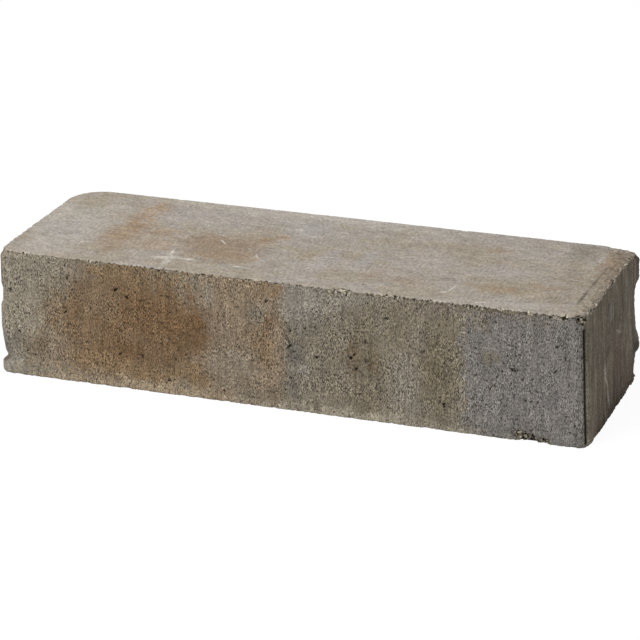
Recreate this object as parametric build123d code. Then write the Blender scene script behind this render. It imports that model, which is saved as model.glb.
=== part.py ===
from build123d import *
import math
import os

# A solid block of pressed concrete for a low garden wall, lying on its bed as it is laid.
# Millimetres. X runs along the block, with +X to the right end, Y from the front to the back, Z up.
# The origin is the middle of the underside.

# Overall size
LENGTH = 450.0  # half way up
DEPTH = 150.0
HEIGHT = 98.0
END_LEAN = 4.0  # each end leans out by this from the top to the foot

# The four upright corners
FRONT_LEFT_RADIUS = 10.0
FRONT_RIGHT_RADIUS = 10.0
BACK_RIGHT_RADIUS = 7.0
BACK_LEFT_RADIUS = 27.0

# Arrises round the top and the foot
TOP_ARRIS = 2.0
FOOT_ARRIS = 1.0

# Mould seam, an upright groove down the front right corner
SEAM_TURN = 40.0  # degrees round the corner from the right end
SEAM_WIDTH = 1.0
SEAM_DEPTH = 1.2

# Wear on the top along the right end: a shallow slope down to the arris
WORN_END_WIDTH = 9.0
WORN_END_DROP = 1.0

# Wear on the top at the back right corner: a steeper slope across the corner
WORN_CORNER_ALONG = 27.0
WORN_CORNER_ACROSS = 60.0
WORN_CORNER_DROP = 1.8

# Chips. A bite is how deep one cuts in, and a radius is that of its hollow.
HOLE_RADIUS = 3.6  # a lost grain at the top of the front right corner
HOLE_BITE = 3.2
HOLE_DROP = 2.0
SPALL_RADIUS = 10.5  # along the front edge of the foot, near the right end
SPALL_BITE = 4.5
SPALL_INSET = 45.0
SMALL_SPALL_RADIUS = 6.0  # beside it, nearer the corner
SMALL_SPALL_BITE = 2.8
SMALL_SPALL_INSET = 33.0
NOTCH_RADIUS = 5.0  # on the front left corner, above the foot
NOTCH_BITE = 2.7
NOTCH_RISE = 14.5
CRUMBLE_RADIUS = 14.0  # the foot of the back right corner
CRUMBLE_BITE = 4.0
CRUMBLE_RISE = 6.0

# Tools that cut reach past the block by this
OVERSHOOT = 20.0

LEFT, RIGHT = -1, 1
FRONT, BACK = -1, 1
CORNER_MIDDLE = 45.0  # degrees round a corner from its end


def half_length(z):
    """Half the block's length at a height: the ends lean out towards the foot."""
    return LENGTH / 2 + END_LEAN * (0.5 - z / HEIGHT)


def corner_radius(side_x, side_y):
    """The radius of one upright corner."""
    if side_y == FRONT:
        return FRONT_LEFT_RADIUS if side_x == LEFT else FRONT_RIGHT_RADIUS
    return BACK_LEFT_RADIUS if side_x == LEFT else BACK_RIGHT_RADIUS


def end_profile():
    """The block seen from the front: upright ends that lean out towards the foot."""
    return Polyline(
        (-half_length(0), 0),
        (half_length(0), 0),
        (half_length(HEIGHT), HEIGHT),
        (-half_length(HEIGHT), HEIGHT),
        close=True,
    )


def pressed_body():
    """The block as it leaves the mould, with rounded corners and worn arrises."""
    body = extrude(make_face(Plane.XZ * end_profile()), DEPTH / 2, both=True)
    for side_x in (LEFT, RIGHT):
        for side_y in (FRONT, BACK):
            middle = (side_x * half_length(HEIGHT / 2), side_y * DEPTH / 2, HEIGHT / 2)
            upright = body.edges().sort_by_distance(middle)[0]
            body = fillet(upright, corner_radius(side_x, side_y))
    body = fillet(body.edges().group_by(Axis.Z)[-1], TOP_ARRIS)
    return fillet(body.edges().group_by(Axis.Z)[0], FOOT_ARRIS)


def corner_point(side_x, side_y, z, turn=CORNER_MIDDLE):
    """A point of one rounded upright corner at a height, and its outward direction."""
    radius = corner_radius(side_x, side_y)
    angle = math.radians(turn)
    outward = Vector(side_x * math.cos(angle), side_y * math.sin(angle), 0)
    centre = Vector(side_x * (half_length(z) - radius), side_y * (DEPTH / 2 - radius), z)
    return centre + outward * radius, outward


def hollow(point, outward, radius, bite):
    """A ball that bites into the surface at a point, to a given depth."""
    centre = point + outward * (radius - bite)
    return Pos(centre.X, centre.Y, centre.Z) * Sphere(radius)


def seam_groove():
    """The cut of the mould seam, leaning with the end."""
    foot, outward = corner_point(RIGHT, FRONT, 0, SEAM_TURN)
    top, _ = corner_point(RIGHT, FRONT, HEIGHT, SEAM_TURN)
    middle = (foot + top) * 0.5
    lie = Plane(origin=(middle.X, middle.Y, middle.Z), x_dir=outward, z_dir=top - foot)
    return lie * Box(2 * SEAM_DEPTH, SEAM_WIDTH, HEIGHT + 2 * OVERSHOOT)


def worn_end():
    """What the wear takes off the top along the right end."""
    edge = half_length(HEIGHT)
    slope = WORN_END_DROP / WORN_END_WIDTH
    reach = WORN_END_WIDTH + OVERSHOOT
    wedge = Polyline(
        (edge - WORN_END_WIDTH, HEIGHT),
        (edge - WORN_END_WIDTH + reach, HEIGHT - slope * reach),
        (edge - WORN_END_WIDTH + reach, HEIGHT + OVERSHOOT),
        (edge - WORN_END_WIDTH, HEIGHT + OVERSHOOT),
        close=True,
    )
    face = make_face(Plane.XZ * wedge)
    return extrude(face, DEPTH / 2 + OVERSHOOT, both=True)


def worn_corner():
    """What the wear takes off the top at the back right corner."""
    start = Vector(half_length(HEIGHT) - WORN_CORNER_ALONG, DEPTH / 2, HEIGHT)
    end = Vector(half_length(HEIGHT), DEPTH / 2 - WORN_CORNER_ACROSS, HEIGHT)
    border = end - start
    outward = border.cross(Vector(0, 0, -1)).normalized()
    to_corner = WORN_CORNER_ALONG * WORN_CORNER_ACROSS / border.length
    tilt = math.degrees(math.atan(WORN_CORNER_DROP / to_corner))
    middle = (start + end) * 0.5
    level = Plane(origin=(middle.X, middle.Y, middle.Z), x_dir=outward, z_dir=(0, 0, 1))
    lie = level * Rot(0, tilt, 0)
    reach = to_corner + OVERSHOOT
    return lie * Box(
        reach, border.length + 2 * OVERSHOOT, OVERSHOOT, align=(Align.MIN, Align.CENTER, Align.MIN)
    )


def front_foot_point(inset):
    """A point on the front edge of the foot, at a distance from the right end."""
    return Vector(half_length(0) - inset, -DEPTH / 2, 0)


def chips():
    """The hollows of the lost grain, the spalls, the notch and the crumbled foot."""
    hole, hole_out = corner_point(RIGHT, FRONT, HEIGHT - HOLE_DROP)
    notch, notch_out = corner_point(LEFT, FRONT, NOTCH_RISE)
    crumble, crumble_out = corner_point(RIGHT, BACK, CRUMBLE_RISE)
    forward = Vector(0, -1, 0)
    return [
        hollow(hole, hole_out, HOLE_RADIUS, HOLE_BITE),
        hollow(front_foot_point(SPALL_INSET), forward, SPALL_RADIUS, SPALL_BITE),
        hollow(front_foot_point(SMALL_SPALL_INSET), forward, SMALL_SPALL_RADIUS, SMALL_SPALL_BITE),
        hollow(notch, notch_out, NOTCH_RADIUS, NOTCH_BITE),
        hollow(crumble, crumble_out, CRUMBLE_RADIUS, CRUMBLE_BITE),
    ]


def wall_block():
    """The whole block: one solid."""
    block = pressed_body()
    for cut in [seam_groove(), worn_end(), worn_corner(), *chips()]:
        block = block - cut
    return block


os.makedirs("parts", exist_ok=True)
block = wall_block()
export_step(block, "parts/wall_block.step")
box = block.bounding_box()
print("wall_block", [round(v, 3) for v in (*box.min, *box.max)], "volume", round(block.volume))
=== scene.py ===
"""The looks of a worn garden wall block of pressed concrete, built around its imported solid.

Sizes and places are in millimetres unless a name says otherwise, in the part's own frame: X runs along
the block to its right end, Y from the front to the back, and Z up from the underside.
"""

import logging
import math
from dataclasses import dataclass, field
from enum import Enum
from typing import Callable, Union

import bmesh
import bpy
import numpy as np
from mathutils import Matrix, Vector, kdtree, noise


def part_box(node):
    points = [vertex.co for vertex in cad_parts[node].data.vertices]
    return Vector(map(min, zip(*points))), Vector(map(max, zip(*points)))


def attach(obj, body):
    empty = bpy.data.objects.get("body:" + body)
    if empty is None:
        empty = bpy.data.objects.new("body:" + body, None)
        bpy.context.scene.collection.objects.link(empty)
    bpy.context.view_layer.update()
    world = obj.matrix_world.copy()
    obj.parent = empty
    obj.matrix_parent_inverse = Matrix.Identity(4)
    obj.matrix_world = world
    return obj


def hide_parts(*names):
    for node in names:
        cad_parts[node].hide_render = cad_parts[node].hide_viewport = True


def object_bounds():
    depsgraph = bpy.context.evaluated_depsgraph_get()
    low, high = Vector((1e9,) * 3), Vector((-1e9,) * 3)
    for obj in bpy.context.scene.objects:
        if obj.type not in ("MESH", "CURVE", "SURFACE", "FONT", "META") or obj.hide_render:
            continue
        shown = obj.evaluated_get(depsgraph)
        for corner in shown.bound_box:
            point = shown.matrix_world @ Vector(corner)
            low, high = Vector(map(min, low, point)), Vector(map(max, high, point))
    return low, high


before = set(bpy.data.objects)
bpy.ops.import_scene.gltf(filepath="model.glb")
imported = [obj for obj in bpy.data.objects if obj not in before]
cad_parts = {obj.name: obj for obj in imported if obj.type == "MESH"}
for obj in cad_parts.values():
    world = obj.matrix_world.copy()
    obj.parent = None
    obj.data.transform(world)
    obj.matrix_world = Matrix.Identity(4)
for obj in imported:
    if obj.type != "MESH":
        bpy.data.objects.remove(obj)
CAD_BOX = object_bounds()

MM = 0.001  # metres in a millimetre
NODE = "wall_block"

Place = tuple[float, float, float]
Spot = tuple[float, float]
Socket = bpy.types.NodeSocket
Feed = Union[Socket, float, Place]

log = logging.getLogger("wall_block")


class Corner(Enum):
    """An upright corner, by the signs of its x and y."""

    FRONT_LEFT = (-1, -1)
    FRONT_RIGHT = (1, -1)
    BACK_RIGHT = (1, 1)
    BACK_LEFT = (-1, 1)


class Face(Enum):
    """A face of the block, by its outward direction."""

    FRONT = (0, -1, 0)
    BACK = (0, 1, 0)
    LEFT = (-1, 0, 0)
    RIGHT = (1, 0, 0)
    TOP = (0, 0, 1)
    UNDERSIDE = (0, 0, -1)


class Mask(Enum):
    """What the skin's point attributes say, each from 0 to 1."""

    BED = "bed"  # on the trowelled top
    END = "end"  # on one of the two ends
    WORN = "worn"  # where the top's film is worn through
    HOLLOW = "hollow"  # painted shade, by how deep a point lies in a pit, a nick, a break or the seam
    GRAIN = "light_grain"  # on a proud light grain
    BROKEN = "broken"  # how deep in a break that shows the grains


@dataclass(frozen=True)
class BlockSizes:
    """The block's real sizes, the same as its solid's.

    Args:
        length: Length half way up.
        depth: Depth from the front to the back.
        height: Height from the underside to the top.
    """

    length: float
    depth: float
    height: float
    end_lean: float = 4.0  # each end leans out by this from the top to the foot
    top_arris: float = 2.0
    foot_arris: float = 1.0
    front_left_radius: float = 10.0
    front_right_radius: float = 10.0
    back_right_radius: float = 7.0
    back_left_radius: float = 27.0

    @classmethod
    def of_node(cls, node: str) -> "BlockSizes":
        """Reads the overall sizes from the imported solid.

        Args:
            node: The solid's node.

        Returns:
            The sizes.
        """
        low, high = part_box(node)
        span = (high - low) / MM
        lean = cls.end_lean * (1 - 2 * cls.foot_arris / span.z)
        return cls(length=span.x - lean, depth=span.y, height=span.z)

    def radius(self, corner: Corner) -> float:
        """Radius of an upright corner."""
        return {
            Corner.FRONT_LEFT: self.front_left_radius,
            Corner.FRONT_RIGHT: self.front_right_radius,
            Corner.BACK_RIGHT: self.back_right_radius,
            Corner.BACK_LEFT: self.back_left_radius,
        }[corner]

    def half_length(self, z: Union[float, np.ndarray]) -> Union[float, np.ndarray]:
        """Half the length at a height, or at each of several heights."""
        return self.length / 2 + self.end_lean * (0.5 - z / self.height)

    def place(self, face: Face, spot: Spot) -> Place:
        """Turns a spot on a face into a place on the sharp-edged block.

        Args:
            face: The face.
            spot: (x, z) on the front and back, (y, z) on the ends, (x, y) on the top and underside.

        Returns:
            The place.
        """
        a, b = spot
        if face in (Face.FRONT, Face.BACK):
            return (a, face.value[1] * self.depth / 2, b)
        if face in (Face.LEFT, Face.RIGHT):
            return (face.value[0] * self.length / 2, a, b)
        return (a, b, self.height if face is Face.TOP else 0.0)


BLOCK = BlockSizes.of_node(NODE)
HALF_X, HALF_Y, TOP = BLOCK.length / 2, BLOCK.depth / 2, BLOCK.height


@dataclass(frozen=True)
class Pit:
    """An open pore, a nick or a lost grain of sand, or else a light grain that stands proud.

    Args:
        at: Its place on the sharp-edged block.
        radius: Half its width.
        depth: How deep it goes, below 0 for a proud grain.
    """

    at: Place
    radius: float = 1.0
    depth: float = 0.9


@dataclass(frozen=True)
class Chip:
    """A break with the form of a ragged ball.

    Args:
        at: Its place on the sharp-edged block.
        outward: The direction that it breaks from.
        radius: Radius of the ball.
        bite: How deep the ball cuts in.
    """

    at: Place
    outward: Place
    radius: float
    bite: float


@dataclass(frozen=True)
class Outline:
    """How far an upright corner stands out from its plain rounding, from the foot to the top.

    Args:
        corner: The corner.
        steps: Heights above the underside, each with how far the corner stands out there.
        spread: How far this runs round the corner to each side.
        crumbs: How rough the corner is.
    """

    corner: Corner
    steps: tuple[Spot, ...]
    spread: float = 14.0
    crumbs: float = 0.0


class Tone(Enum):
    """Colours of the concrete, its stains and grains, and its painted shade and light, as linear red, green
    and blue.
    """

    GREY = (0.290, 0.254, 0.196)
    PALE_GREY = (0.300, 0.268, 0.214)
    STONE = (0.240, 0.208, 0.158)
    BROWN = (0.212, 0.144, 0.084)
    RUST = (0.186, 0.112, 0.056)
    OCHRE = (0.262, 0.180, 0.102)
    SAND = (0.268, 0.207, 0.144)
    ORANGE = (0.310, 0.205, 0.110)
    TAN = (0.282, 0.215, 0.146)
    # painted light, partly: the paler foot bands of the front, their own colour lifted to stand for the
    # floor's bounce light
    FOOT = (0.402, 0.318, 0.220)
    FOOT_GREY = (0.390, 0.345, 0.268)
    MOSS = (0.232, 0.208, 0.162)
    LILAC_GREY = (0.312, 0.282, 0.242)
    SLATE = (0.190, 0.170, 0.142)
    UMBER = (0.160, 0.112, 0.068)
    OLIVE = (0.204, 0.174, 0.122)
    # also painted shade: the thin dark line just under the front arris
    DARK_OLIVE = (0.172, 0.144, 0.095)
    COOL = (0.226, 0.211, 0.192)
    LILAC = (0.226, 0.210, 0.196)
    # also the darker band under the front arris, partly dirt and partly painted shade
    TAUPE = (0.206, 0.170, 0.135)
    TAUPE_WARM = (0.212, 0.166, 0.134)
    TAUPE_OLIVE = (0.226, 0.198, 0.150)
    TAUPE_LIGHT = (0.340, 0.305, 0.262)
    TAUPE_DARK = (0.130, 0.104, 0.082)
    END_SCRAPE = (0.470, 0.430, 0.375)
    SMEAR = (0.360, 0.335, 0.285)
    BED = (0.368, 0.327, 0.276)
    BED_LILAC = (0.398, 0.358, 0.326)
    BED_BLUE = (0.385, 0.358, 0.328)
    BED_TAN = (0.350, 0.300, 0.232)
    BED_PALE = (0.425, 0.386, 0.338)
    BED_SCUFF = (0.480, 0.440, 0.390)
    BED_PEACH = (0.392, 0.308, 0.238)
    BED_ORANGE = (0.330, 0.243, 0.163)
    BED_BROWN = (0.296, 0.226, 0.162)
    BED_WORN = (0.285, 0.232, 0.178)
    # painted shade: the darker patch where the worn back right corner of the top slopes away
    BED_DUSK = (0.270, 0.238, 0.196)
    SCRAPE = (0.640, 0.600, 0.530)
    # painted shade: the dark line along the step down to the worn strip at the right end
    SMUDGE = (0.165, 0.138, 0.114)
    # painted shade: the near black laid into pores, pits, nicks and the gaps between broken grains
    HOLE = (0.030, 0.024, 0.017)
    CREAM = (0.680, 0.610, 0.480)


@dataclass(frozen=True)
class Stain:
    """A cloud of colour on a face, or a scratch where it is thin. A few are painted shade and painted light.

    Args:
        face: The face it lies on.
        at: Its middle there.
        reach: Half its width and height there.
        tone: Its colour.
        strength: How far it covers the colour below, from 0 to 1.
        fade: Share of its reach over which it fades out.
        turn: Degrees by which it is turned, seen from outside.
        ragged: Whether its border wanders.
    """

    face: Face
    at: Spot
    reach: Spot
    tone: Tone
    strength: float = 0.8
    fade: float = 0.7
    turn: float = 0.0
    ragged: bool = True

    def axes(self) -> tuple[Vector, Vector, Vector]:
        """Its three directions in space, each divided by its reach there.

        Returns:
            The directions across it, up it and into the block, where it reaches as deep as it is wide.
        """
        outward = Vector(self.face.value)
        upright = Vector((0, 1, 0)) if self.face in (Face.TOP, Face.UNDERSIDE) else Vector((0, 0, 1))
        across = Vector((0, 1, 0)) if self.face in (Face.LEFT, Face.RIGHT) else Vector((1, 0, 0))
        turn = math.radians(self.turn)
        along = across * math.cos(turn) + upright * math.sin(turn)
        beside = upright * math.cos(turn) - across * math.sin(turn)
        deep = max(*self.reach, 8.0)
        return along / self.reach[0], beside / self.reach[1], outward / deep


def scratch(face: Face, start: Spot, end: Spot, width: float, tone: Tone, strength: float = 0.8) -> Stain:
    """A thin straight mark between two spots of a face.

    Args:
        face: The face.
        start: One end.
        end: The other end.
        width: Its width.
        tone: Its colour.
        strength: How far it covers the colour below.

    Returns:
        The mark.
    """
    run = Vector(end) - Vector(start)
    middle = (Vector(end) + Vector(start)) / 2
    turn = math.degrees(math.atan2(run.y, run.x))
    reach = (run.length / 2 + width / 2, width / 2)
    return Stain(face, tuple(middle), reach, tone, strength, 0.7, turn, False)


def marks(face: Face, *rows: tuple) -> tuple[Stain, ...]:
    """The stains and scratches of a face, the lowest first.

    Args:
        face: The face.
        *rows: A stain's x, y, reach in x and in y, tone, strength and so on, or a scratch's x and y at
            each end, width, tone and strength.

    Returns:
        The marks.
    """
    made = []
    for x, y, across, up, *rest in rows:
        kind = Stain if isinstance(rest[0], Tone) else scratch
        made.append(kind(face, (x, y), (across, up), *rest))
    return tuple(made)


# Each shape is some smaller pits that run together: how far right, how far up and how large, in pit radii.
PIT_SHAPES = (
    ((0.0, 0.0, 0.8), (0.6, 0.4, 0.5), (-0.5, -0.6, 0.4)),
    ((0.0, 0.2, 0.7), (0.1, -0.7, 0.6)),
    ((-0.3, 0.0, 0.7), (0.7, -0.2, 0.6), (0.4, 0.6, 0.4)),
    ((0.0, 0.0, 0.9), (-0.8, 0.5, 0.4)),
    ((0.2, 0.3, 0.6), (-0.4, -0.3, 0.6), (-0.9, -0.8, 0.4)),
)


def front_pits() -> list[Pit]:
    """The pits that stand out on the front."""
    small, usual, large = (1.05, 1.0), (1.5, 1.4), (2.0, 1.8)
    spots = {
        usual: (
            (-171, 91), (-169, 82), (-208, 35), (-121, 72), (-170, 55), (-127, 27), (-109, 28), (-88, 11),
            (26, 44), (55, 50), (56, 39), (63, 61), (79, 80), (204, 74), (203, 56), (-12, 82), (-215, 68),
        ),
        large: ((-130, 77), (121, 20), (172, 53), (52, 47), (6, 50)),
        small: (
            (-185, 58), (-108, 87), (-200, 50), (-56, 90), (4, 56), (9, 46), (-9, 31), (-23, 35), (-45, 9),
            (93, 70), (107, 59), (122, 52), (177, 65), (179, 47), (186, 48), (210, 23), (131, 58), (156, 91),
            (181, 31), (185, 31), (189, 30.5), (175, 53.6), (170, 54), (160, 87), (-90, 9), (-84, 12),
            (118, 22), (125, 19), (-150, 60), (-60, 70), (-75, 33), (30, 80), (95, 30), (145, 66),
        ),
    }
    crease = [(x, 14.6 - 0.12 * (x + 224)) for x in range(-224, -208, 2)]
    spots[(1.5, 1.5)] = tuple(crease)
    return [
        Pit(BLOCK.place(Face.FRONT, (x + right * radius, z + up * radius)), share * radius, share * depth)
        for (radius, depth), group in spots.items()
        for number, (x, z) in enumerate(group)
        for right, up, share in PIT_SHAPES[number % len(PIT_SHAPES)]
    ]


def arris_breaks() -> list[Chip]:
    """Small breaks that show light grains, along the front and the right arris of the top."""
    front = (
        (41, 3.0), (46, 4.0), (51, 2.8), (68, 2.3), (79, 2.5), (86, 3.2), (93, 2.1), (112, 2.2), (128, 2.5),
        (141, 3.2), (147, 2.5), (163, 2.1), (183, 2.2), (203, 2.8), (209, 3.6), (-152, 2.2), (-92, 2.0),
        (-204, 2.0), (-20, 1.9),
    )
    right = (
        (-66, 2.6), (-57, 3.6), (-50, 2.6), (-42, 3.0), (-31, 2.4), (-18, 2.6), (-6, 2.2), (6, 2.8),
        (19, 2.4), (31, 2.8), (44, 2.6), (56, 3.2), (66, 2.6),
    )
    made = [Chip((x, -HALF_Y, TOP), (0, -1, 0.7), radius, 0.72 * radius) for x, radius in front]
    return made + [Chip((HALF_X - 2, y, TOP), (0.8, 0, 1), radius, 0.66 * radius) for y, radius in right]


def front_nicks() -> list[Pit]:
    """The nicks that stand out along the front top arris, the larger ones towards the right."""
    small, large = (0.9, 0.9), (1.5, 1.4)
    along = {
        small: (
            -211, -188, -150, -142, -120, -101, -86, -60, -45, -24, -12, 1, 14, 28, 106, 121, 143,
            160, 207,
        ),
        large: (-101, 40, 44, 53, 68, 78, 83, 89, 100, 127, 216),
    }
    return [Pit((x, -HALF_Y, TOP), *size) for size, group in along.items() for x in group]


OUTLINES = (
    Outline(
        Corner.FRONT_LEFT,
        (
            (0, -0.4), (3, 0.3), (8.4, 0.4), (9.8, -4.4), (11.4, -5.0), (14, -3.4), (17, -2.2), (21, -1.3),
            (26, -0.3), (37, 1.3), (53, 1.6), (57, -0.2), (66, -0.3), (71, 1.3), (92, 1.8), (95, -0.8),
            (98, -1.1),
        ),
        12.0,
    ),
    Outline(
        Corner.BACK_RIGHT,
        (
            (0, -2.6), (3, -4.2), (10, -4.0), (17, -2.6), (20.5, -2.0), (21.8, 1.5), (29, 1.3), (34, -0.2),
            (40, -1.5), (50, -2.4), (62, -2.5), (69, -1.9), (73, -0.8), (76.4, 2.0), (93.5, 2.4), (96.4, 0.0),
            (98, -1.0),
        ),
        crumbs=0.6,
    ),
    Outline(
        Corner.BACK_LEFT,
        ((0, -0.5), (20, 0.4), (34, -0.9), (48, -0.4), (56, 1.0), (80, 1.1), (98, -0.6)),
        26.0,
    ),
)

CHIPS = (
    Chip((HALF_X - 1.5, -HALF_Y + 1.0, TOP - 2.0), (0.7, -0.7, 0.15), 4.4, 4.0),
    Chip((HALF_X - 43, -HALF_Y, 0), (0, -1, -0.25), 10.5, 4.5),
    Chip((HALF_X - 50, -HALF_Y, 5), (0, -1, 0), 4.5, 2.4),
    Chip((HALF_X - 31.5, -HALF_Y, 0), (0, -1, -0.25), 6.0, 2.8),
    Chip((HALF_X, HALF_Y, 5), (1, 1, -0.3), 14.0, 4.0),
    Chip((HALF_X, 46, 0), (1, 0, -0.4), 7.0, 1.6),
    Chip((-HALF_X, HALF_Y, 0), (-1, 1, -0.5), 16.0, 2.0),
    Chip((-60, HALF_Y, 0), (0, 1, -0.4), 9.0, 2.2),
    Chip((92, HALF_Y, TOP), (0, 1, 0.6), 6.0, 1.6),
    Chip((-HALF_X, -20, TOP), (-1, 0, 0.6), 5.0, 1.5),
    Chip((-HALF_X, 22, 0), (-1, 0, -0.5), 8.0, 1.8),
    Chip((HALF_X, HALF_Y, TOP), (1, 0.7, 0.6), 5.0, 2.0),
    Chip((HALF_X - 14, HALF_Y, TOP), (0, 1, 0.7), 4.5, 1.6),
    Chip((150, HALF_Y, 0), (0, 1, -0.5), 6.0, 1.8),
    Chip((-140, HALF_Y, TOP), (0, 1, 0.7), 4.0, 1.4),
)

SIDE_STAINS_AND_PAINTED_LIGHT = (
    *marks(
        Face.FRONT,
        (-212, 50, 38, 90, Tone.GREY, 0.9, 0.5), (-34, 50, 50, 90, Tone.SAND, 0.95, 0.4),
        (70, 50, 70, 150, Tone.STONE, 0.95, 0.06, 0.0, False), (-122, 48, 76, 58, Tone.BROWN, 0.97, 0.45),
        (-186, 92, 32, 11, Tone.GREY, 0.8), (-178, 54, 16, 30, Tone.OCHRE, 0.35),
        (-186, 22, 30, 22, Tone.SAND, 0.8), (-190, 28, 14, 13, Tone.BROWN, 0.35),
        (-215, 26, 10, 14, Tone.SLATE, 0.6), (-192, 20, 24, 12, Tone.OLIVE, 0.3),
        (-166, 18, 20, 11, Tone.BROWN, 0.5), (-118, 62, 56, 34, Tone.RUST, 0.7, 1.0),
        (-80, 52, 38, 42, Tone.RUST, 0.8, 1.0), (-68, 48, 13, 32, Tone.RUST, 0.95, 0.8),
        (-72, 40, 9, 20, Tone.UMBER, 0.6, 0.9), (-125, 30, 26, 12, Tone.RUST, 0.6),
        (-112, 90, 52, 14, Tone.OCHRE, 0.7), (-140, 66, 24, 20, Tone.TAN, 0.35),
        (-152, 20, 18, 15, Tone.OCHRE, 0.8), (-112, 14, 58, 12, Tone.OCHRE, 0.9),
        # the last row: the paler foot band, partly its own colour, partly painted bounce light from the floor
        (-66, 16, 16, 15, Tone.OCHRE, 0.9), (-112, 0, 115, 15, Tone.FOOT, 0.85),
        (-36, 82, 30, 22, Tone.TAN, 0.75), (-56, 82, 8, 14, Tone.PALE_GREY, 0.5),
        (-12, 90, 14, 10, Tone.ORANGE, 0.35), (-4, 92, 4.5, 8, Tone.ORANGE, 0.75, 0.5),
        (-20, 71, 15, 12, Tone.MOSS, 0.75, 0.9), (-9, 66, 8, 9, Tone.RUST, 0.7, 0.8),
        (-14, 47, 12, 18, Tone.OCHRE, 0.55), (-18, 53, 15, 15, Tone.BROWN, 0.45),
        (-47, 26, 14, 14, Tone.BROWN, 0.3), (-42, 30, 26, 20, Tone.PALE_GREY, 0.45),
        (-30, 10, 24, 10, Tone.STONE, 0.6), (17, 84, 25, 21, Tone.LILAC_GREY, 0.72, 0.5),
        (22, 68, 16, 13, Tone.SLATE, 0.35), (9, 44, 8, 17, Tone.SLATE, 0.95, 0.6),
        (12, 33, 9, 5, Tone.LILAC_GREY, 0.85), (9, 18, 11, 13, Tone.SLATE, 0.8),
        (37, 84, 12, 14, Tone.PALE_GREY, 0.5), (52, 92, 26, 8, Tone.LILAC_GREY, 0.6),
        (36, 44, 10, 44, Tone.OLIVE, 0.35), (62, 42, 18, 62, Tone.OLIVE, 0.85, 0.6),
        (55, 49, 7, 17, Tone.UMBER, 0.65, 0.8), (69, 46, 6, 13, Tone.UMBER, 0.55, 0.8),
        (93, 30, 15, 34, Tone.LILAC_GREY, 0.35), (87, 78, 12, 24, Tone.OLIVE, 0.8),
        (118, 45, 20, 56, Tone.OLIVE, 0.9, 0.6), (113, 46, 8, 22, Tone.DARK_OLIVE, 0.8),
        (196, 45, 64, 160, Tone.COOL, 0.97, 0.12), (192, 28, 44, 34, Tone.LILAC, 0.7),
        # under the front arris: a darker band, partly dirt and partly painted shade, and a thin dark line of
        # painted shade
        (146, 96, 80, 9, Tone.TAUPE, 0.65), (95, 96.2, 212, 96.2, 4.4, Tone.DARK_OLIVE, 0.75),
        (148, 84, 10, 8, Tone.OLIVE, 0.6), (156, 60, 9, 7, Tone.OLIVE, 0.6),
        # the first row: the paler foot band on the right, partly its own colour, partly painted bounce light
        (62, 0, 125, 11, Tone.FOOT_GREY, 0.85), (-211, 14.0, 9, 2.8, Tone.SMEAR, 0.9, 0.8, -8),
        (-220, 8, 11, 9, Tone.SMEAR, 0.6), (153.5, 35.6, 160, 41.8, 1.2, Tone.UMBER, 0.9),
    ),
    *marks(
        Face.BACK,
        (120, 45, 70, 52, Tone.BROWN, 0.9), (140, 62, 30, 20, Tone.RUST, 0.8),
        (30, 55, 44, 60, Tone.SAND, 0.7), (-30, 40, 40, 60, Tone.OLIVE, 0.8),
        (-60, 60, 14, 18, Tone.UMBER, 0.6), (-150, 55, 66, 80, Tone.COOL, 0.9, 0.4),
        (60, 12, 60, 14, Tone.OCHRE, 0.8),
    ),
    *marks(
        Face.UNDERSIDE,
        (-90, 10, 90, 50, Tone.SAND, 0.6), (110, -20, 80, 60, Tone.COOL, 0.6),
    ),
)

END_STAINS = (
    *marks(
        Face.RIGHT,
        (10, 84, 70, 22, Tone.TAUPE_OLIVE, 0.7), (44, 44, 18, 34, Tone.TAUPE_OLIVE, 0.7),
        (-66, 50, 10, 80, Tone.TAUPE_OLIVE, 0.9, 0.5), (14, 40, 26, 34, Tone.TAUPE_WARM, 0.8),
        (46, 54, 26, 40, Tone.TAUPE_LIGHT, 0.18), (20, 76, 12, 14, Tone.TAUPE, 0.7),
        (-8, 78, 9, 13, Tone.TAUPE_LIGHT, 0.7), (0, 2, 80, 7, Tone.TAUPE_DARK, 0.7),
        (-13, 51, 9, 4, Tone.TAUPE_DARK, 0.7), (-4, 69, 7, 3, Tone.TAUPE_DARK, 0.6),
        (-20, 19, 5, 4, Tone.TAUPE_DARK, 0.6), (66, 26, 9, 6, Tone.TAUPE_DARK, 0.9),
        (-24.5, 46, -24, 33, 7.0, Tone.END_SCRAPE, 0.8), (-24, 34, -19, 27, 5.0, Tone.END_SCRAPE, 0.9),
        (-19, 27, -15.5, 9, 6.4, Tone.END_SCRAPE, 1.0), (6, 60, 22, 52, 3.6, Tone.TAUPE_LIGHT, 1.0),
        (8, 51, 20, 61, 3.0, Tone.TAUPE_LIGHT, 0.8), (-33, 70, -32, 58, 2.6, Tone.TAUPE_LIGHT, 0.6),
        (36, 88, 40, 82, 5.0, Tone.TAUPE_LIGHT, 0.5),
    ),
    *marks(
        Face.LEFT,
        (-20, 50, 34, 60, Tone.STONE, 0.7), (30, 30, 26, 30, Tone.OLIVE, 0.7),
        (10, 70, 22, 16, Tone.TAUPE, 0.7), (-62, 50, 14, 70, Tone.GREY, 0.7),
    ),
)

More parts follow.
